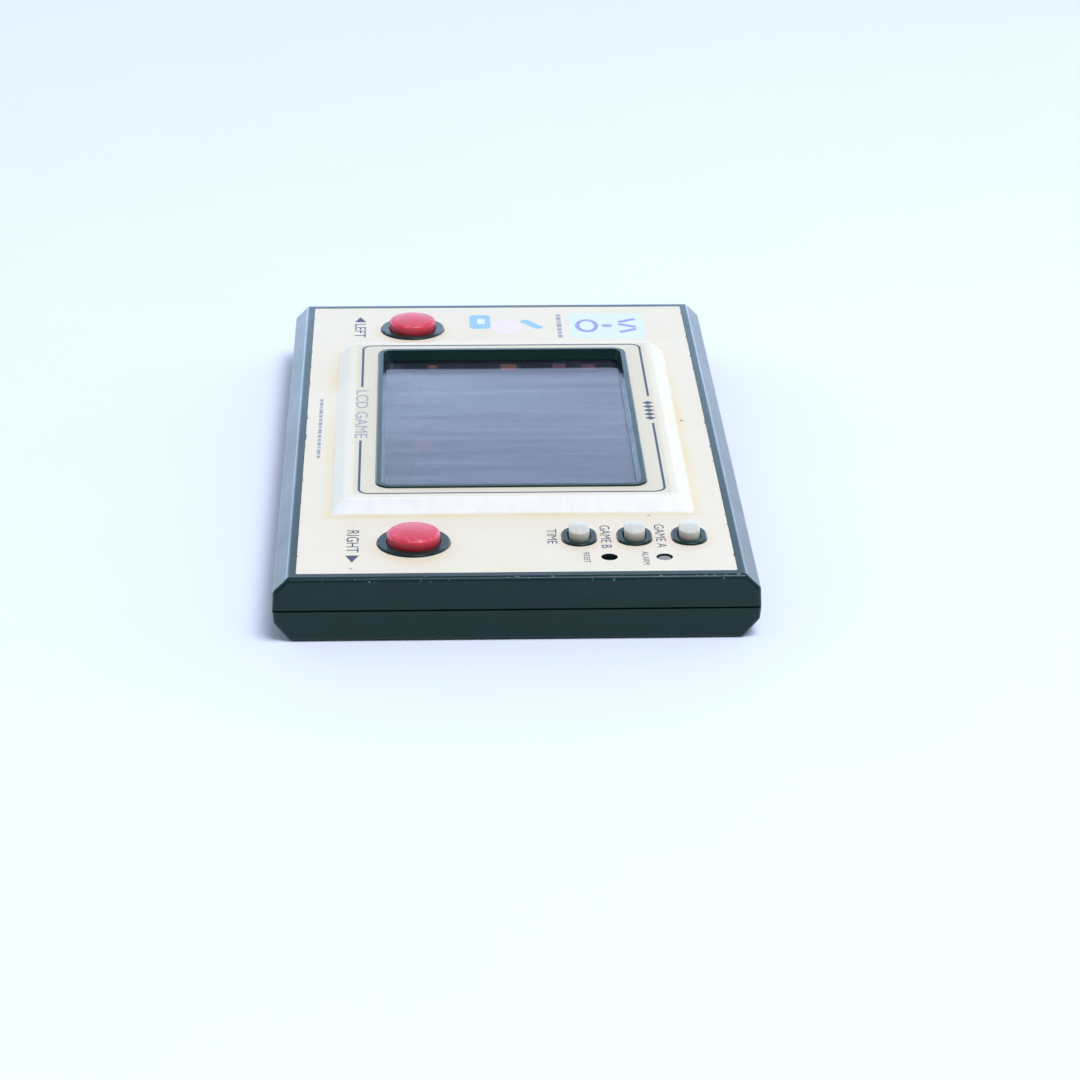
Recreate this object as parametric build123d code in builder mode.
from build123d import *
import os

# Handheld LCD game: a two-part moulded case, an embossed aluminium face plate, an LCD stack,
# two action buttons, three mode buttons, two pinhole plungers, a circuit board with its parts,
# a piezo sounder, two button cells under a sliding cover and a fold-out metal stand.
#
# Frame: the game lies on its back. The origin is the centre of the back face, +X points to the
# game's right-hand end, +Y to its top long edge and +Z out of the screen. Millimetres.

# ---------------------------------------------------------------- driving dimensions
CASE_L, CASE_W = 112.0, 67.0          # overall length along X, width along Y
RIM_Z = 9.4                           # top of the flat rim around the face plate
PARTING_Z = 4.58                      # joint between the upper and the lower case
GROOVE_H, GROOVE_D = 0.28, 0.40       # shadow groove along the joint
WALL = 1.6
FLOOR_T = 1.2
DRAFT = 0.15                          # how much each long side leans in away from the joint
UP_CHAMFER_Z, UP_CHAMFER_RUN = 7.35, 2.23
LOW_CHAMFER_Z, LOW_CHAMFER_RUN = 2.68, 2.41
CASE_EDGE_R = 0.7

PLATE_T = 0.40                        # embossed aluminium sheet
PLATE_L, PLATE_W = 108.46, 60.34
DECK_Z = RIM_Z - PLATE_T              # plastic deck that carries the plate
DECK_UNDER_Z = 7.5
CLEAR = 0.05                          # gap around pieces that drop into a recess

EMBOSS_L, EMBOSS_W = 68.3, 51.8       # raised screen surround, at its foot
EMBOSS_H, EMBOSS_RUN = 2.0, 2.05      # height and horizontal run of its slope
EMBOSS_R = 1.3
PLATEAU_Z = RIM_Z + EMBOSS_H

RIM_L, RIM_W, RIM_R = 57.4, 39.0, 2.1  # green frame around the window
RIM_TOP_Z = PLATEAU_Z + 0.25
RIM_LEDGE = 0.8
BEVEL_RUN = 0.5                       # slope from the frame's ledge down to the lens

LENS_T = 1.0
LENS_TOP_Z = 10.05
LCD_POCKET_L, LCD_POCKET_W = 62.4, 45.8
FILM_T, POLARISER_T, GLASS_T, REFLECTOR_T = 0.10, 0.18, 0.70, 0.20
FRONT_GLASS_L, FRONT_GLASS_W = 58.8, 43.8
REAR_GLASS_W = 39.1
FRONT_GLASS_Z = 8.05                  # underside of the front glass
HOLDER_FLOOR_Z = 6.25

BOARD_T = 1.0
BOARD_TOP_Z = 5.4
BOARD_Z = BOARD_TOP_Z - BOARD_T
BOARD_L, BOARD_W = 106.4, 60.8

# buttons: name, centre
ACTION_X, ACTION_Y = 43.85, -14.1
MODE_X = 42.35
MODE_KEYS = {"time_button": 9.0, "game_b_button": 16.74, "game_a_button": 24.4}
CAP_R, COLLAR_IN_R, COLLAR_OUT_R = 3.72, 3.85, 5.15
MODE_CAP_L, MODE_CAP_W = 4.3, 2.87    # round-ended outlines, long side along X
MODE_HOLE_L, MODE_HOLE_W = 4.75, 3.25
MODE_COLLAR_L, MODE_COLLAR_W = 6.6, 4.9
COLLAR_PROUD, COLLAR_EDGE_R = 0.3, 0.2
CAP_TOP_Z, MODE_CAP_TOP_Z = 11.35, 11.2
CAP_DOME_R, MODE_CAP_DOME_R = 30.0, 7.0
CAP_FLANGE, MODE_CAP_FLANGE, PLUNGER_FLANGE = 1.0, 0.9, 0.8
FLANGE_Z, FLANGE_T = 6.85, 0.6        # flange that keeps each cap in the case
PINHOLE_R = 1.15
ALARM_TOP_Z, RESET_TOP_Z = 9.2, 8.0
ALARM_AT, RESET_AT = (49.5, 20.5), (49.35, 12.9)

DOME_BASE_T, DOME_TOP_T, PILL_T = 0.4, 0.35, 0.3

# fastenings
CASE_SCREWS = [(50.5, 27.5), (50.5, -27.5), (-50.5, -27.5), (-33.0, 27.8)]
BOARD_SCREWS = [(35.5, -25.0), (-35.0, -25.0), (35.5, 26.5), (-25.0, 26.5)]
BOSS_R = 2.5
CASE_SHANK_R, CASE_HEAD_R, CASE_HEAD_T = 0.95, 1.9, 1.1
CASE_BORE_DEPTH = 1.5
BOARD_SHANK_R, BOARD_HEAD_R, BOARD_HEAD_T = 0.8, 1.5, 0.8

# battery compartment
CELL_R, CELL_H = 5.8, 4.2
CELLS = [(-46.4, 5.2), (-46.4, 18.9)]
CELL_Z = 1.5
BOX_OUT = (-54.4, -37.4, -4.4, 29.0)  # X from, X to, Y from, Y to
BOX_IN = (-53.2, -39.4, -1.8, 26.4)
BOX_CEIL_Z, BOX_TOP_Z = 6.35, 7.1
TAB_OFFSET, TAB_W = 2.6, 2.0          # tabs touch the cans beside their widest point
COVER_END_X = -38.2                   # where the sliding cover stops
COVER_Y = (-2.9, 27.5)
COVER_MID_Y, RIB_X, ARROW_X = 12.3, -46.5, -53.2
COVER_Z, COVER_TOP_Z, COVER_EDGE_R = 0.1, 1.15, 0.6
TONGUE_Z, TONGUE_T, TONGUE_W = 0.45, 0.35, 0.7
SLOT_CLEAR = 0.1

# fold-out stand
STAND_L, STAND_W, STAND_T = 35.0, 24.0, 0.8
HINGE_Y, HINGE_Z = 13.5, 1.25
PIN_R, BARREL_R = 0.6, 1.15
RECESS_X, RECESS_CEIL_Z = 13.0, 1.55
RECESS_Y = (-27.0, 15.0)
RECESS_SKIN = 0.9

LABEL_AT, LABEL_L, LABEL_W = (33.0, 19.0), 26.0, 9.0

# sounder
PIEZO_X, PIEZO_Y = 30.5, -2.0
PIEZO_R, CERAMIC_R = 12.5, 9.0
PIEZO_Z, PIEZO_T, CERAMIC_T = 1.9, 0.2, 0.2
SOUND_HOLE_R = 0.8

os.makedirs("parts", exist_ok=True)


def save(piece, label):
    """Labels a finished sub-part and writes it as one STEP file."""
    piece.part.label = label
    export_step(piece.part, f"parts/{label}.step")


def edges_above(piece, height):
    """Edges whose middle lies above a height."""
    return piece.edges().filter_by(lambda edge: edge.center().Z > height)


def upright(x, y):
    """Vertical sketch plane through a key's own axis."""
    return Plane(origin=(x, y, 0), x_dir=(1, 0, 0), z_dir=(0, -1, 0))


def box_sketch(x_from, x_to, y_from, y_to):
    """Adds a rectangle from its limits to the sketch being drawn."""
    with Locations(((x_from + x_to) / 2, (y_from + y_to) / 2)):
        Rectangle(x_to - x_from, y_to - y_from)


def at_centre_z(piece, height):
    """Edges whose middle lies at a height."""
    return piece.edges().filter_by(lambda edge: abs(edge.center().Z - height) < 0.001)

# ---------------------------------------------------------------- upper case
half_l, half_w = CASE_L / 2, CASE_W / 2
emboss_in_l = EMBOSS_L - 2 * 0.166
emboss_in_w = EMBOSS_W - 2 * 0.166

with BuildPart() as upper_case:
    with BuildSketch(Plane.YZ):
        with BuildLine():
            Polyline(
                (-half_w, PARTING_Z),
                (half_w, PARTING_Z),
                (half_w - DRAFT, UP_CHAMFER_Z),
                (half_w - UP_CHAMFER_RUN, RIM_Z),
                (-half_w + UP_CHAMFER_RUN, RIM_Z),
                (-half_w + DRAFT, UP_CHAMFER_Z),
                close=True,
            )
        make_face()
    extrude(amount=half_l, both=True)
    fillet(edges_above(upper_case, PARTING_Z + 0.1), CASE_EDGE_R)
    # shadow groove along the joint
    with BuildSketch(Plane.XY.offset(PARTING_Z)):
        Rectangle(CASE_L + 2, CASE_W + 2)
        Rectangle(CASE_L - 2 * GROOVE_D, CASE_W - 2 * GROOVE_D, mode=Mode.SUBTRACT)
    extrude(amount=GROOVE_H / 2, mode=Mode.SUBTRACT)
    # inside of the shell
    with BuildSketch(Plane.YZ):
        with BuildLine():
            inner = half_w - WALL
            Polyline(
                (-inner, PARTING_Z),
                (inner, PARTING_Z),
                (inner, 6.9),
                (inner - 0.7, DECK_UNDER_Z),
                (-inner + 0.7, DECK_UNDER_Z),
                (-inner, 6.9),
                close=True,
            )
        make_face()
    extrude(amount=half_l - WALL, both=True, mode=Mode.SUBTRACT)
    # shallow recess for the face plate
    with BuildSketch(Plane.XY.offset(DECK_Z)):
        Rectangle(PLATE_L + 2 * CLEAR, PLATE_W + 2 * CLEAR)
    extrude(amount=PLATE_T + 1, mode=Mode.SUBTRACT)
    # raised screen surround under the embossing
    with BuildSketch(Plane.XY.offset(DECK_Z)):
        RectangleRounded(emboss_in_l, emboss_in_w, EMBOSS_R)
    with BuildSketch(Plane.XY.offset(DECK_Z + EMBOSS_H)):
        RectangleRounded(emboss_in_l - 2 * EMBOSS_RUN, emboss_in_w - 2 * EMBOSS_RUN, EMBOSS_R)
    loft()
    # green frame that shows around the window
    with BuildSketch(Plane.XY.offset(DECK_Z + EMBOSS_H)):
        RectangleRounded(RIM_L, RIM_W, RIM_R)
    extrude(amount=RIM_TOP_Z - DECK_Z - EMBOSS_H)
    fillet(upper_case.edges().group_by(Axis.Z)[-1], 0.15)
    # pocket for the lens and the LCD holder
    with BuildSketch(Plane.XY.offset(PARTING_Z)):
        RectangleRounded(LCD_POCKET_L, LCD_POCKET_W, 0.8)
    extrude(amount=LENS_TOP_Z - PARTING_Z, mode=Mode.SUBTRACT)
    # window opening, wider at the top than at the lens
    with BuildSketch(Plane.XY.offset(LENS_TOP_Z)):
        RectangleRounded(
            RIM_L - 2 * (RIM_LEDGE + BEVEL_RUN), RIM_W - 2 * (RIM_LEDGE + BEVEL_RUN), 1.0
        )
    with BuildSketch(Plane.XY.offset(RIM_TOP_Z)):
        RectangleRounded(RIM_L - 2 * RIM_LEDGE, RIM_W - 2 * RIM_LEDGE, 1.4)
    loft(mode=Mode.SUBTRACT)
    # collars that stand through the face plate around each key
    with BuildSketch(Plane.XY.offset(DECK_Z)):
        with Locations((ACTION_X, ACTION_Y), (-ACTION_X, ACTION_Y)):
            Circle(COLLAR_OUT_R)
        for key_y in MODE_KEYS.values():
            with Locations((MODE_X, key_y)):
                SlotOverall(MODE_COLLAR_L, MODE_COLLAR_W)
    extrude(amount=PLATE_T + COLLAR_PROUD)
    fillet(at_centre_z(upper_case, RIM_Z + COLLAR_PROUD), COLLAR_EDGE_R)
    with BuildSketch(Plane.XY.offset(DECK_UNDER_Z - 0.5)):
        with Locations((ACTION_X, ACTION_Y), (-ACTION_X, ACTION_Y)):
            Circle(COLLAR_IN_R)
        for key_y in MODE_KEYS.values():
            with Locations((MODE_X, key_y)):
                SlotOverall(MODE_HOLE_L, MODE_HOLE_W)
        with Locations(ALARM_AT, RESET_AT):
            Circle(PINHOLE_R)
    extrude(amount=4, mode=Mode.SUBTRACT)
    # bosses for the case screws and for the board screws
    with BuildSketch(Plane.XY.offset(PARTING_Z + 0.04)):
        with Locations(*CASE_SCREWS):
            Circle(BOSS_R)
    extrude(amount=DECK_UNDER_Z - PARTING_Z)
    with BuildSketch(Plane.XY.offset(BOARD_TOP_Z)):
        with Locations(*BOARD_SCREWS):
            Circle(BOSS_R - 0.4)
    extrude(amount=DECK_UNDER_Z - BOARD_TOP_Z + 0.04)
    with BuildSketch(Plane.XY.offset(PARTING_Z)):
        with Locations(*CASE_SCREWS):
            Circle(CASE_SHANK_R + CLEAR)
        with Locations(*BOARD_SCREWS):
            Circle(BOARD_SHANK_R + CLEAR)
    extrude(amount=8.4 - PARTING_Z, mode=Mode.SUBTRACT)
save(upper_case, "upper_case")

# ---------------------------------------------------------------- lower case
with BuildPart() as lower_case:
    with BuildSketch(Plane.YZ):
        with BuildLine():
            Polyline(
                (-half_w, PARTING_Z),
                (half_w, PARTING_Z),
                (half_w - DRAFT, LOW_CHAMFER_Z),
                (half_w - LOW_CHAMFER_RUN, 0),
                (-half_w + LOW_CHAMFER_RUN, 0),
                (-half_w + DRAFT, LOW_CHAMFER_Z),
                close=True,
            )
        make_face()
    extrude(amount=half_l, both=True)
    fillet(
        lower_case.edges().filter_by(lambda edge: edge.center().Z < PARTING_Z - 0.1), CASE_EDGE_R
    )
    with BuildSketch(Plane.XY.offset(PARTING_Z - GROOVE_H / 2)):
        Rectangle(CASE_L + 2, CASE_W + 2)
        Rectangle(CASE_L - 2 * GROOVE_D, CASE_W - 2 * GROOVE_D, mode=Mode.SUBTRACT)
    extrude(amount=GROOVE_H, mode=Mode.SUBTRACT)
    with BuildSketch(Plane.YZ):
        with BuildLine():
            inner = half_w - WALL
            Polyline(
                (-inner, PARTING_Z),
                (inner, PARTING_Z),
                (inner, 3.3),
                (inner - 1.9, FLOOR_T),
                (-inner + 1.9, FLOOR_T),
                (-inner, 3.3),
                close=True,
            )
        make_face()
    extrude(amount=half_l - WALL, both=True, mode=Mode.SUBTRACT)
    # lip that locates the upper case
    with BuildSketch(Plane.XY.offset(PARTING_Z - 0.9)):
        Rectangle(CASE_L - 2 * WALL, CASE_W - 2 * WALL)
        Rectangle(CASE_L - 2 * WALL - 1.3, CASE_W - 2 * WALL - 1.3, mode=Mode.SUBTRACT)
    extrude(amount=0.9)
    with BuildSketch(Plane.XY.offset(PARTING_Z)):
        Rectangle(CASE_L - 2 * WALL - 0.1, CASE_W - 2 * WALL - 0.1)
        Rectangle(CASE_L - 2 * WALL - 1.3, CASE_W - 2 * WALL - 1.3, mode=Mode.SUBTRACT)
    extrude(amount=0.7)
    # case screw bosses
    with BuildSketch(Plane.XY.offset(FLOOR_T - 0.2)):
        with Locations(*CASE_SCREWS):
            Circle(BOSS_R)
    extrude(amount=PARTING_Z - FLOOR_T + 0.2)
    # battery box, closed above and open to the back
    with BuildSketch(Plane.XY.offset(FLOOR_T - 0.2)):
        box_sketch(*BOX_OUT)
    extrude(amount=BOX_TOP_Z - FLOOR_T + 0.2)
    # skin over the stand's recess, thicker around its hinge
    with BuildSketch(Plane.XY.offset(FLOOR_T - 0.2)):
        box_sketch(-RECESS_X - 1, RECESS_X + 1, RECESS_Y[0] - 1, RECESS_Y[1] + 1)
    extrude(amount=RECESS_CEIL_Z + RECESS_SKIN - FLOOR_T + 0.2)
    with BuildSketch(Plane.XY.offset(FLOOR_T - 0.2)):
        box_sketch(-RECESS_X - 3, RECESS_X + 3, HINGE_Y - 2.5, HINGE_Y + 2.5)
    extrude(amount=3.5 - FLOOR_T + 0.2)
    # ring that carries the sounder
    with BuildSketch(Plane.XY.offset(FLOOR_T - 0.2)):
        with Locations((PIEZO_X, PIEZO_Y)):
            Circle(PIEZO_R + 1.0)
            Circle(PIEZO_R - 0.6, mode=Mode.SUBTRACT)
    extrude(amount=2.3 - FLOOR_T + 0.2)
    with BuildSketch(Plane.XY.offset(PIEZO_Z)):
        with Locations((PIEZO_X, PIEZO_Y)):
            Circle(PIEZO_R + CLEAR)
    extrude(amount=1.0, mode=Mode.SUBTRACT)
    # screw holes, counterbored from the back
    with BuildSketch(Plane.XY):
        with Locations(*CASE_SCREWS):
            Circle(CASE_SHANK_R + 0.15)
    extrude(amount=PARTING_Z + 1, mode=Mode.SUBTRACT)
    with BuildSketch(Plane.XY):
        with Locations(*CASE_SCREWS):
            Circle(CASE_HEAD_R + 0.2)
    extrude(amount=CASE_BORE_DEPTH, mode=Mode.SUBTRACT)
    # inside of the battery box, the cover's slot and the grooves for its tongues
    with BuildSketch(Plane.XY):
        box_sketch(*BOX_IN)
    extrude(amount=BOX_CEIL_Z, mode=Mode.SUBTRACT)
    with BuildSketch(Plane.XY):
        box_sketch(
            -half_l - 1, COVER_END_X + SLOT_CLEAR, COVER_Y[0] - SLOT_CLEAR, COVER_Y[1] + SLOT_CLEAR
        )
    extrude(amount=COVER_TOP_Z + 0.08, mode=Mode.SUBTRACT)
    with BuildSketch(Plane.XY.offset(TONGUE_Z - 0.06)):
        box_sketch(
            -half_l - 1,
            COVER_END_X + SLOT_CLEAR,
            COVER_Y[0] - TONGUE_W - SLOT_CLEAR,
            COVER_Y[1] + TONGUE_W + SLOT_CLEAR,
        )
    extrude(amount=TONGUE_T + 0.12, mode=Mode.SUBTRACT)
    # slots in the battery box where the contact strips leave for the board
    with BuildSketch(Plane.XY.offset(5.5)):
        for strip_y in (CELLS[0][1], CELLS[1][1] + TAB_OFFSET):
            box_sketch(BOX_IN[1] - 1, BOX_OUT[1] + 1, strip_y - 1.3, strip_y + 1.3)
    extrude(amount=0.7, mode=Mode.SUBTRACT)
    # recess for the folded stand
    with BuildSketch(Plane.XY):
        box_sketch(-RECESS_X, RECESS_X, *RECESS_Y)
    extrude(amount=RECESS_CEIL_Z, mode=Mode.SUBTRACT)
    with BuildSketch(Plane.XY):
        box_sketch(-RECESS_X, RECESS_X, HINGE_Y - BARREL_R - 0.35, HINGE_Y + BARREL_R + 0.35)
    extrude(amount=HINGE_Z + BARREL_R + 0.2, mode=Mode.SUBTRACT)
    with BuildSketch(Plane.YZ):
        with Locations((HINGE_Y, HINGE_Z)):
            Circle(PIN_R + 0.02)
    extrude(amount=RECESS_X + 2.1, both=True, mode=Mode.SUBTRACT)
    # sound holes
    with BuildSketch(Plane.XY):
        with Locations((PIEZO_X, PIEZO_Y)):
            Circle(SOUND_HOLE_R)
            with PolarLocations(4.0, 6):
                Circle(SOUND_HOLE_R)
    extrude(amount=FLOOR_T + 0.5, mode=Mode.SUBTRACT)
    # shallow seat for the rating label
    with BuildSketch(Plane.XY):
        with Locations(LABEL_AT):
            RectangleRounded(LABEL_L + 0.2, LABEL_W + 0.2, 0.6)
    extrude(amount=0.12, mode=Mode.SUBTRACT)
save(lower_case, "lower_case")

# ---------------------------------------------------------------- face plate
with BuildPart() as face_plate:
    with BuildSketch(Plane.XY.offset(DECK_Z)):
        RectangleRounded(PLATE_L, PLATE_W, 0.25)
    extrude(amount=PLATE_T)
    with BuildSketch(Plane.XY.offset(RIM_Z)):
        RectangleRounded(EMBOSS_L, EMBOSS_W, EMBOSS_R + 0.15)
    with BuildSketch(Plane.XY.offset(PLATEAU_Z)):
        RectangleRounded(EMBOSS_L - 2 * EMBOSS_RUN, EMBOSS_W - 2 * EMBOSS_RUN, EMBOSS_R + 0.15)
    loft()
    fillet(face_plate.edges().group_by(Axis.Z)[-1], 0.9)
    with BuildSketch(Plane.XY.offset(DECK_Z)):
        RectangleRounded(emboss_in_l, emboss_in_w, EMBOSS_R)
    with BuildSketch(Plane.XY.offset(DECK_Z + EMBOSS_H)):
        RectangleRounded(emboss_in_l - 2 * EMBOSS_RUN, emboss_in_w - 2 * EMBOSS_RUN, EMBOSS_R)
    loft(mode=Mode.SUBTRACT)
    with BuildSketch(Plane.XY.offset(DECK_Z)):
        RectangleRounded(RIM_L + 2 * CLEAR, RIM_W + 2 * CLEAR, RIM_R + CLEAR)
        with Locations((ACTION_X, ACTION_Y), (-ACTION_X, ACTION_Y)):
            Circle(COLLAR_OUT_R + CLEAR)
        for key_y in MODE_KEYS.values():
            with Locations((MODE_X, key_y)):
                SlotOverall(MODE_COLLAR_L + 2 * CLEAR, MODE_COLLAR_W + 2 * CLEAR)
        with Locations(ALARM_AT, RESET_AT):
            Circle(PINHOLE_R)
    extrude(amount=EMBOSS_H + 2, mode=Mode.SUBTRACT)
save(face_plate, "face_plate")

# ---------------------------------------------------------------- LCD stack
HOLDER_TOP_Z = LENS_TOP_Z - LENS_T


def sheet(label, length, width, bottom, thickness, corner=0.3):
    """A flat rectangular layer of the display stack."""
    with BuildPart() as layer:
        with BuildSketch(Plane.XY.offset(bottom)):
            RectangleRounded(length, width, corner)
        extrude(amount=thickness)
    save(layer, label)


with BuildPart() as window_lens:
    with BuildSketch(Plane.XY.offset(LENS_TOP_Z - LENS_T)):
        RectangleRounded(LCD_POCKET_L - 0.5, LCD_POCKET_W - 0.5, 0.8)
    extrude(amount=LENS_T)
save(window_lens, "window_lens")

front_glass_top = FRONT_GLASS_Z + GLASS_T
rear_glass_z = FRONT_GLASS_Z - GLASS_T
sheet("lcd_front_glass", FRONT_GLASS_L, FRONT_GLASS_W, FRONT_GLASS_Z, GLASS_T)
sheet("lcd_rear_glass", FRONT_GLASS_L - 0.4, REAR_GLASS_W, rear_glass_z, GLASS_T)
sheet("front_polariser", FRONT_GLASS_L - 1, REAR_GLASS_W, front_glass_top, POLARISER_T)
sheet(
    "overlay_film", FRONT_GLASS_L - 0.4, FRONT_GLASS_W - 0.4, front_glass_top + POLARISER_T, FILM_T
)
sheet(
    "rear_reflector", FRONT_GLASS_L - 1, REAR_GLASS_W - 0.6, rear_glass_z - REFLECTOR_T, REFLECTOR_T
)

ZEBRA_Y, ZEBRA_W, ZEBRA_L = 20.7, 1.6, 56.0
with BuildPart() as lcd_holder:
    with BuildSketch(Plane.XY.offset(BOARD_TOP_Z)):
        RectangleRounded(LCD_POCKET_L - 0.4, LCD_POCKET_W - 0.4, 0.8)
    extrude(amount=HOLDER_TOP_Z - BOARD_TOP_Z)
    with BuildSketch(Plane.XY.offset(FRONT_GLASS_Z)):
        Rectangle(FRONT_GLASS_L + 0.2, FRONT_GLASS_W + 0.2)
    extrude(amount=HOLDER_TOP_Z - FRONT_GLASS_Z, mode=Mode.SUBTRACT)
    with BuildSketch(Plane.XY.offset(rear_glass_z - REFLECTOR_T)):
        Rectangle(FRONT_GLASS_L, REAR_GLASS_W + 0.2)
    extrude(amount=GLASS_T + REFLECTOR_T, mode=Mode.SUBTRACT)
    with BuildSketch(Plane.XY.offset(BOARD_TOP_Z)):
        with Locations((0, ZEBRA_Y), (0, -ZEBRA_Y)):
            Rectangle(ZEBRA_L + 0.2, ZEBRA_W + 0.1)
    extrude(amount=FRONT_GLASS_Z - BOARD_TOP_Z, mode=Mode.SUBTRACT)
    with BuildSketch(Plane.XY.offset(BOARD_TOP_Z)):
        Rectangle(FRONT_GLASS_L - 2, REAR_GLASS_W - 2)
    extrude(amount=HOLDER_FLOOR_Z - BOARD_TOP_Z, mode=Mode.SUBTRACT)
save(lcd_holder, "lcd_holder")

for zebra_label, zebra_y in {"zebra_strip_top": ZEBRA_Y, "zebra_strip_bottom": -ZEBRA_Y}.items():
    with BuildPart() as zebra:
        with BuildSketch(Plane.XY.offset(BOARD_TOP_Z)):
            with Locations((0, zebra_y)):
                Rectangle(ZEBRA_L, ZEBRA_W)
        extrude(amount=FRONT_GLASS_Z - BOARD_TOP_Z)
    save(zebra, zebra_label)


# ---------------------------------------------------------------- keys
def rubber_dome(label, x, y, base_r, top_r):
    """Hollow rubber dome under a key: a foot ring, a thin cone and a flat top."""
    top_z = FLANGE_Z
    with BuildPart() as dome:
        with BuildSketch(upright(x, y)):
            with BuildLine():
                Polyline(
                    (0, top_z),
                    (top_r, top_z),
                    (base_r - 0.9, BOARD_TOP_Z + DOME_BASE_T),
                    (base_r, BOARD_TOP_Z + DOME_BASE_T),
                    (base_r, BOARD_TOP_Z),
                    (base_r - 1.1, BOARD_TOP_Z),
                    (top_r - 0.1, top_z - DOME_TOP_T),
                    (0, top_z - DOME_TOP_T),
                    close=True,
                )
            make_face()
        revolve(axis=Axis((x, y, 0), (0, 0, 1)))
    save(dome, label)


def carbon_pill(label, x, y, radius):
    """Conductive pill under the dome's top, which closes the contact on the board."""
    with BuildPart() as pill:
        with BuildSketch(Plane.XY.offset(FLANGE_Z - DOME_TOP_T - PILL_T)):
            with Locations((x, y)):
                Circle(radius)
        extrude(amount=PILL_T)
        chamfer(pill.edges().group_by(Axis.Z)[0], 0.06)
    save(pill, label)


def action_button(label, x, y):
    """Round cap with a slightly domed top and a flange that the deck holds back."""
    with BuildPart() as cap:
        with BuildSketch(Plane.XY.offset(FLANGE_Z)):
            with Locations((x, y)):
                Circle(CAP_R)
        extrude(amount=CAP_TOP_Z - FLANGE_Z)
        with BuildSketch(Plane.XY.offset(FLANGE_Z)):
            with Locations((x, y)):
                Circle(CAP_R + CAP_FLANGE)
        extrude(amount=FLANGE_T)
        with Locations((x, y, CAP_TOP_Z - CAP_DOME_R)):
            Sphere(CAP_DOME_R, mode=Mode.INTERSECT)
        fillet(edges_above(cap, CAP_TOP_Z - 0.5), 0.5)
    save(cap, label)


def mode_button(label, x, y):
    """Small round-ended cap with a domed top."""
    with BuildPart() as cap:
        with BuildSketch(Plane.XY.offset(FLANGE_Z)):
            with Locations((x, y)):
                SlotOverall(MODE_CAP_L, MODE_CAP_W)
        extrude(amount=MODE_CAP_TOP_Z - FLANGE_Z)
        with BuildSketch(Plane.XY.offset(FLANGE_Z)):
            with Locations((x, y)):
                SlotOverall(MODE_CAP_L + 2 * MODE_CAP_FLANGE, MODE_CAP_W + 2 * MODE_CAP_FLANGE)
        extrude(amount=FLANGE_T)
        with Locations((x, y, MODE_CAP_TOP_Z - MODE_CAP_DOME_R)):
            Sphere(MODE_CAP_DOME_R, mode=Mode.INTERSECT)
        fillet(edges_above(cap, MODE_CAP_TOP_Z - 0.6), 0.3)
    save(cap, label)


def plunger(label, x, y, top_z):
    """Pin that a pen tip pushes through the pinhole."""
    with BuildPart() as pin:
        with BuildSketch(Plane.XY.offset(FLANGE_Z)):
            with Locations((x, y)):
                Circle(PINHOLE_R - 0.12)
        extrude(amount=top_z - FLANGE_Z)
        fillet(pin.edges().group_by(Axis.Z)[-1], 0.25)
        with BuildSketch(Plane.XY.offset(FLANGE_Z)):
            with Locations((x, y)):
                Circle(PINHOLE_R + PLUNGER_FLANGE)
        extrude(amount=FLANGE_T)
    save(pin, label)


KEYS = {
    "left": (-ACTION_X, ACTION_Y, 4.6, 2.6, 1.9),
    "right": (ACTION_X, ACTION_Y, 4.6, 2.6, 1.9),
    "time": (MODE_X, MODE_KEYS["time_button"], 3.3, 1.9, 1.2),
    "game_b": (MODE_X, MODE_KEYS["game_b_button"], 3.3, 1.9, 1.2),
    "game_a": (MODE_X, MODE_KEYS["game_a_button"], 3.3, 1.9, 1.2),
    "alarm": (*ALARM_AT, 2.6, 1.2, 0.8),
    "reset": (*RESET_AT, 2.6, 1.2, 0.8),
}
for key, (key_x, key_y, base_r, top_r, pill_r) in KEYS.items():
    rubber_dome(f"{key}_dome", key_x, key_y, base_r, top_r)
    carbon_pill(f"{key}_contact", key_x, key_y, pill_r)
action_button("left_button", -ACTION_X, ACTION_Y)
action_button("right_button", ACTION_X, ACTION_Y)
for key_label, key_y in MODE_KEYS.items():
    mode_button(key_label, MODE_X, key_y)
plunger("alarm_plunger", *ALARM_AT, ALARM_TOP_Z)
plunger("reset_plunger", *RESET_AT, RESET_TOP_Z)

# ---------------------------------------------------------------- circuit board
with BuildPart() as main_board:
    with BuildSketch(Plane.XY.offset(BOARD_Z)):
        RectangleRounded(BOARD_L, BOARD_W, 0.8)
        with Locations(*CASE_SCREWS):
            Circle(BOSS_R + 0.5, mode=Mode.SUBTRACT)
        for corner_x, corner_y in CASE_SCREWS[:3]:
            with Locations((corner_x + (3 if corner_x > 0 else -3), corner_y)):
                Rectangle(6, 2 * BOSS_R + 1, mode=Mode.SUBTRACT)
            with Locations((corner_x, corner_y + (3 if corner_y > 0 else -3))):
                Rectangle(2 * BOSS_R + 1, 6, mode=Mode.SUBTRACT)
        with Locations(*BOARD_SCREWS):
            Circle(BOARD_SHANK_R + 0.15, mode=Mode.SUBTRACT)
        with Locations((-half_l, (BOX_OUT[2] + BOX_OUT[3]) / 2)):
            Rectangle(
                2 * (half_l + BOX_OUT[1] + 0.3), BOX_OUT[3] - BOX_OUT[2] + 0.6, mode=Mode.SUBTRACT
            )
    extrude(amount=BOARD_T)
save(main_board, "main_board")

# interleaved contact fingers under every carbon pill
FINGER_T, FINGER_W = 0.05, 0.3
with BuildPart() as contact_fingers:
    with BuildSketch(Plane.XY.offset(BOARD_TOP_Z)):
        for key_x, key_y, _, _, pill_r in KEYS.values():
            with Locations((key_x, key_y)):
                with GridLocations(0.6, 0, 2 * int(pill_r / 0.6) + 1, 1):
                    Rectangle(FINGER_W, 2 * pill_r * 0.8)
    extrude(amount=FINGER_T)
save(contact_fingers, "contact_fingers")


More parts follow.
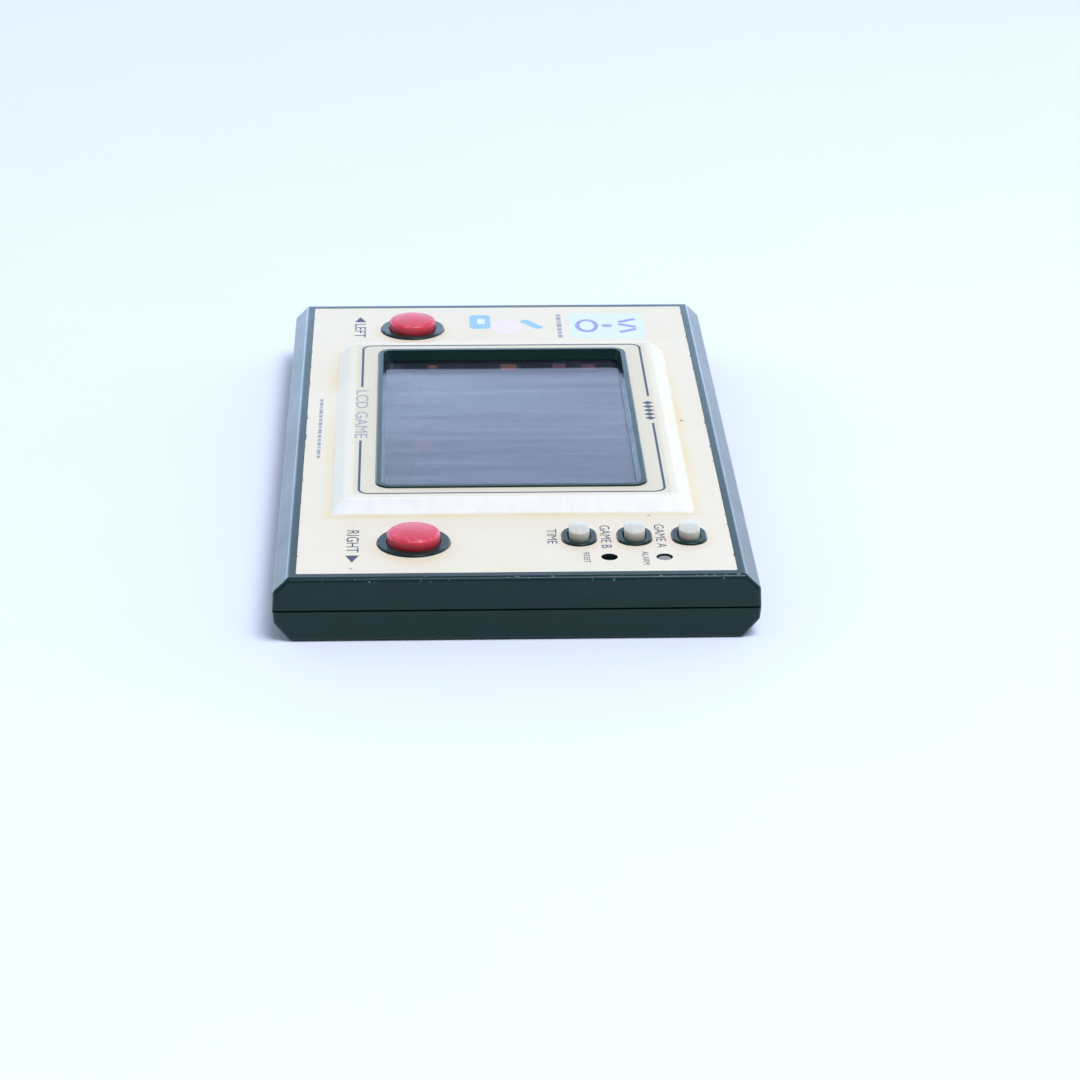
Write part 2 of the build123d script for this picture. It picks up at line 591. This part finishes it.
def screws(label, places, head_z, head_r, head_t, shank_r, tip_z):
    """Group of pan-head screws driven upwards, each with a cross recess in its head."""
    with BuildPart() as group:
        with BuildSketch(Plane.XY.offset(head_z)):
            with Locations(*places):
                Circle(head_r)
        extrude(amount=head_t)
        chamfer(group.edges().group_by(Axis.Z)[0], 0.25)
        with BuildSketch(Plane.XY.offset(head_z + head_t)):
            with Locations(*places):
                Circle(shank_r)
        extrude(amount=tip_z - head_z - head_t)
        with BuildSketch(Plane.XY.offset(head_z)):
            with Locations(*places):
                Rectangle(1.3 * head_r, 0.28 * head_r)
                Rectangle(0.28 * head_r, 1.3 * head_r)
        extrude(amount=0.5 * head_t, mode=Mode.SUBTRACT)
    save(group, label)


screws(
    "case_screws", CASE_SCREWS, CASE_BORE_DEPTH - CASE_HEAD_T, CASE_HEAD_R, CASE_HEAD_T,
    CASE_SHANK_R, 8.2,
)
screws(
    "board_screws", BOARD_SCREWS, BOARD_Z - BOARD_HEAD_T, BOARD_HEAD_R, BOARD_HEAD_T,
    BOARD_SHANK_R, 8.0,
)

# flat package processor with its leads, under the board
CHIP_X, CHIP_Y, CHIP_W, CHIP_T = -25.0, -10.0, 12.0, 1.4
LEAD_L, LEAD_W, LEAD_T, LEAD_PITCH, LEADS = 1.3, 0.35, 0.2, 0.8, 13
with BuildPart() as processor:
    with BuildSketch(Plane.XY.offset(BOARD_Z - 0.15 - CHIP_T)):
        with Locations((CHIP_X, CHIP_Y)):
            Rectangle(CHIP_W, CHIP_W)
            with Locations((-CHIP_W / 2, -CHIP_W / 2)):
                Rectangle(1, 1, rotation=45, mode=Mode.SUBTRACT)
    extrude(amount=CHIP_T)
    with BuildSketch(Plane.XY.offset(BOARD_Z - LEAD_T)):
        with Locations((CHIP_X, CHIP_Y)):
            with GridLocations(CHIP_W + LEAD_L, LEAD_PITCH, 2, LEADS):
                Rectangle(LEAD_L + 0.4, LEAD_W)
            with GridLocations(LEAD_PITCH, CHIP_W + LEAD_L, LEADS, 2):
                Rectangle(LEAD_W, LEAD_L + 0.4)
    extrude(amount=LEAD_T)
save(processor, "processor")

# watch crystal in its can, lying under the board with two wires
CAN_X, CAN_Y, CAN_Z = -29.0, 5.5, BOARD_Z - 1.05
CAN_R, CAN_L, WIRE_R, WIRE_GAP, WIRE_L = 1.0, 6.0, 0.16, 0.4, 2.0
with BuildPart() as quartz_crystal:
    with BuildSketch(Plane.YZ.offset(CAN_X)):
        with Locations((CAN_Y, CAN_Z)):
            Circle(CAN_R)
    extrude(amount=CAN_L)
    fillet(quartz_crystal.edges(), 0.2)
    with BuildSketch(Plane.YZ.offset(CAN_X + CAN_L - 0.1)):
        with Locations((CAN_Y - WIRE_GAP, CAN_Z), (CAN_Y + WIRE_GAP, CAN_Z)):
            Circle(WIRE_R)
    extrude(amount=WIRE_L)
save(quartz_crystal, "quartz_crystal")

TRIMMER_AT, TRIMMER_R, TRIMMER_H = (-27.0, 13.0), 2.2, 1.7
with BuildPart() as trimmer:
    with BuildSketch(Plane.XY.offset(BOARD_Z - TRIMMER_H)):
        with Locations(TRIMMER_AT):
            Circle(TRIMMER_R)
    extrude(amount=TRIMMER_H)
    # screwdriver slot
    with BuildSketch(Plane.XY.offset(BOARD_Z - TRIMMER_H)):
        with Locations(TRIMMER_AT):
            Rectangle(3.0, 0.5)
    extrude(amount=0.5, mode=Mode.SUBTRACT)
save(trimmer, "trimmer")

CAPACITORS = [(22.0, 16.5), (28.0, 16.5), (22.0, 22.5)]
CAPACITOR_R, CAPACITOR_H = 2.1, 1.6
with BuildPart() as capacitors:
    for part_x, part_y in CAPACITORS:
        with Locations((part_x, part_y, BOARD_Z - CAPACITOR_H / 2)):
            Cylinder(CAPACITOR_R, CAPACITOR_H)
    fillet(capacitors.edges().group_by(Axis.Z)[0], 0.6)
save(capacitors, "capacitors")

RESISTORS = [(22.0, -20.0), (29.5, -20.0), (22.0, -24.0), (29.5, -24.0)]
RESISTOR_R, RESISTOR_L, RESISTOR_WIRE_R, RESISTOR_WIRE_L = 0.8, 3.4, 0.22, 5.2
RESISTOR_Z = BOARD_Z - 0.85
with BuildPart() as resistors:
    for part_x, part_y in RESISTORS:
        with BuildSketch(Plane.YZ.offset(part_x - RESISTOR_L / 2)):
            with Locations((part_y, RESISTOR_Z)):
                Circle(RESISTOR_R)
        extrude(amount=RESISTOR_L)
    fillet(resistors.edges().filter_by(GeomType.CIRCLE), 0.25)
    for part_x, part_y in RESISTORS:
        with BuildSketch(Plane.YZ.offset(part_x - RESISTOR_WIRE_L / 2)):
            with Locations((part_y, RESISTOR_Z)):
                Circle(RESISTOR_WIRE_R)
        extrude(amount=RESISTOR_WIRE_L)
save(resistors, "resistors")

# ---------------------------------------------------------------- sounder
with BuildPart() as piezo_plate:
    with BuildSketch(Plane.XY.offset(PIEZO_Z)):
        with Locations((PIEZO_X, PIEZO_Y)):
            Circle(PIEZO_R)
    extrude(amount=PIEZO_T)
save(piezo_plate, "piezo_plate")

with BuildPart() as piezo_ceramic:
    with BuildSketch(Plane.XY.offset(PIEZO_Z + PIEZO_T)):
        with Locations((PIEZO_X, PIEZO_Y)):
            Circle(CERAMIC_R)
    extrude(amount=CERAMIC_T)
save(piezo_ceramic, "piezo_ceramic")

CONTACT_T = 0.25


def leaf(x_from, x_to, y, width, z_from, z_to):
    """Bent leaf: a flat end at z_to on the board, a slope and a flat end at z_from."""
    with BuildPart() as strip:
        with BuildSketch(Plane.XZ.offset(-y - width / 2)):
            with BuildLine():
                Polyline(
                    (x_from, z_to),
                    (x_from, z_to - CONTACT_T),
                    (x_from + 1.6, z_to - CONTACT_T),
                    (x_to - 1.2, z_from),
                    (x_to, z_from),
                    (x_to, z_from + CONTACT_T),
                    (x_to - 1.1, z_from + CONTACT_T),
                    (x_from + 1.7, z_to),
                    close=True,
                )
            make_face()
        extrude(amount=width)
    return strip.part


ceramic_leaf = leaf(22.0, 27.5, -1.0, 1.6, PIEZO_Z + PIEZO_T + CERAMIC_T, BOARD_Z)
brass_leaf = leaf(15.2, 20.5, -5.0, 1.6, PIEZO_Z + PIEZO_T, BOARD_Z)
with BuildPart() as piezo_contacts:
    add([ceramic_leaf, brass_leaf])
save(piezo_contacts, "piezo_contacts")

# ---------------------------------------------------------------- battery
for cell_number, (cell_x, cell_y) in enumerate(CELLS, start=1):
    with BuildPart() as cell:
        with BuildSketch(Plane.XY.offset(CELL_Z)):
            with Locations((cell_x, cell_y)):
                Circle(CELL_R)
        extrude(amount=CELL_H - 0.4)
        fillet(cell.edges(), 0.4)
        with BuildSketch(Plane.XY.offset(CELL_Z + CELL_H - 0.8)):
            with Locations((cell_x, cell_y)):
                Circle(CELL_R - 0.9)
        extrude(amount=0.8)
        fillet(cell.edges().group_by(Axis.Z)[-1], 0.25)
    save(cell, f"battery_cell_{cell_number}")

STRIP_Z = CELL_Z + CELL_H + 0.02      # the strips press on the cells' negative faces


def ceiling_strip(x_from, y, width):
    """Flat contact strip under the box's ceiling that runs out through a slot to the board."""
    with BuildPart() as strip:
        with BuildSketch(Plane.XZ.offset(-y - width / 2)):
            with BuildLine():
                Polyline(
                    (x_from, STRIP_Z),
                    (BOX_OUT[1] + 0.6, STRIP_Z),
                    (BOX_OUT[1] + 0.6, BOARD_TOP_Z),
                    (BOX_OUT[1] + 2.8, BOARD_TOP_Z),
                    (BOX_OUT[1] + 2.8, BOARD_TOP_Z + CONTACT_T),
                    (BOX_OUT[1] + 0.6 + CONTACT_T, BOARD_TOP_Z + CONTACT_T),
                    (BOX_OUT[1] + 0.6 + CONTACT_T, STRIP_Z + CONTACT_T),
                    (x_from, STRIP_Z + CONTACT_T),
                    close=True,
                )
            make_face()
        extrude(amount=width)
    return strip


battery_negative = ceiling_strip(CELLS[0][0] - 2.0, CELLS[0][1], 2.4)
save(battery_negative, "battery_negative")

TAB_X = CELLS[0][0] + CELL_R - 0.2
TAB_Z = CELL_Z + 0.6
TAB_H = STRIP_Z + CONTACT_T - TAB_Z
with BuildPart() as battery_bridge:
    # leaf over the second cell, joined along the wall to a tab on the first cell's can
    with BuildSketch(Plane.XY.offset(STRIP_Z)):
        box_sketch(CELLS[1][0] - 2.0, TAB_X + 1.0, CELLS[1][1] - 3.6, CELLS[1][1] - 1.2)
        box_sketch(TAB_X, TAB_X + 1.0, CELLS[0][1] + 1.6, CELLS[1][1] - 1.2)
    extrude(amount=CONTACT_T)
    with BuildSketch(Plane.XY.offset(TAB_Z)):
        box_sketch(TAB_X, TAB_X + CONTACT_T, CELLS[0][1] + 1.6, CELLS[0][1] + 1.6 + TAB_W)
    extrude(amount=TAB_H)
save(battery_bridge, "battery_bridge")

positive_y = CELLS[1][1] + TAB_OFFSET
positive_strip = ceiling_strip(TAB_X, positive_y, TAB_W)
with BuildPart() as battery_positive:
    add(positive_strip.part)
    with BuildSketch(Plane.XY.offset(TAB_Z)):
        box_sketch(TAB_X, TAB_X + CONTACT_T, positive_y - TAB_W / 2, positive_y + TAB_W / 2)
    extrude(amount=TAB_H)
save(battery_positive, "battery_positive")

# cover that slides out over the end of the case, rounded there like the case itself
with BuildPart() as battery_cover:
    with BuildSketch(Plane.XY.offset(COVER_Z)):
        box_sketch(-half_l + 0.02, COVER_END_X, *COVER_Y)
    extrude(amount=COVER_TOP_Z - COVER_Z)
    fillet(battery_cover.edges().filter_by(Axis.Y).group_by(Axis.Z)[0].sort_by(Axis.X)[0], COVER_EDGE_R)
    with BuildSketch(Plane.XY.offset(TONGUE_Z)):
        box_sketch(-half_l + 1.2, COVER_END_X, COVER_Y[0] - TONGUE_W, COVER_Y[1] + TONGUE_W)
    extrude(amount=TONGUE_T)
    # finger ribs and a moulded arrow on its outside
    with BuildSketch(Plane.XY.offset(COVER_Z)):
        with Locations((RIB_X, COVER_MID_Y)):
            with GridLocations(1.6, 0, 6, 1):
                Rectangle(0.7, 14)
        with Locations((ARROW_X, COVER_MID_Y)):
            Triangle(a=4.0, b=3.0, c=3.0, rotation=90)
    extrude(amount=0.3, mode=Mode.SUBTRACT)
save(battery_cover, "battery_cover")

# ---------------------------------------------------------------- stand and label
with BuildPart() as stand:
    with BuildSketch(Plane.XY.offset(HINGE_Z - BARREL_R + 0.25)):
        with Locations((0, HINGE_Y - STAND_L / 2)):
            Rectangle(STAND_W, STAND_L)
    extrude(amount=STAND_T)
    fillet(stand.edges().filter_by(Axis.Z).group_by(Axis.Y)[0], 4.0)
    with BuildSketch(Plane.YZ):
        with Locations((HINGE_Y, HINGE_Z)):
            Circle(BARREL_R)
    extrude(amount=STAND_W / 2, both=True)
    # window in the middle of the barrel, and the bore for the pin
    with BuildSketch(Plane.XY):
        box_sketch(-6.0, 6.0, HINGE_Y - 2.2, HINGE_Y + 2)
    extrude(amount=5, mode=Mode.SUBTRACT)
    with BuildSketch(Plane.YZ):
        with Locations((HINGE_Y, HINGE_Z)):
            Circle(PIN_R + 0.06)
    extrude(amount=STAND_W, both=True, mode=Mode.SUBTRACT)
    # pressed stiffening rib along the plate
    with BuildSketch(Plane.XY.offset(HINGE_Z - BARREL_R + 0.25)):
        with Locations((0, -5)):
            SlotOverall(22, 5, rotation=90)
    extrude(amount=0.3, mode=Mode.SUBTRACT)
save(stand, "stand")

with BuildPart() as stand_pin:
    with BuildSketch(Plane.YZ):
        with Locations((HINGE_Y, HINGE_Z)):
            Circle(PIN_R)
    extrude(amount=RECESS_X + 2.0, both=True)
save(stand_pin, "stand_pin")

with BuildPart() as rating_label:
    with BuildSketch(Plane.XY.offset(0.02)):
        with Locations(LABEL_AT):
            RectangleRounded(LABEL_L, LABEL_W, 0.5)
    extrude(amount=0.1)
save(rating_label, "rating_label")
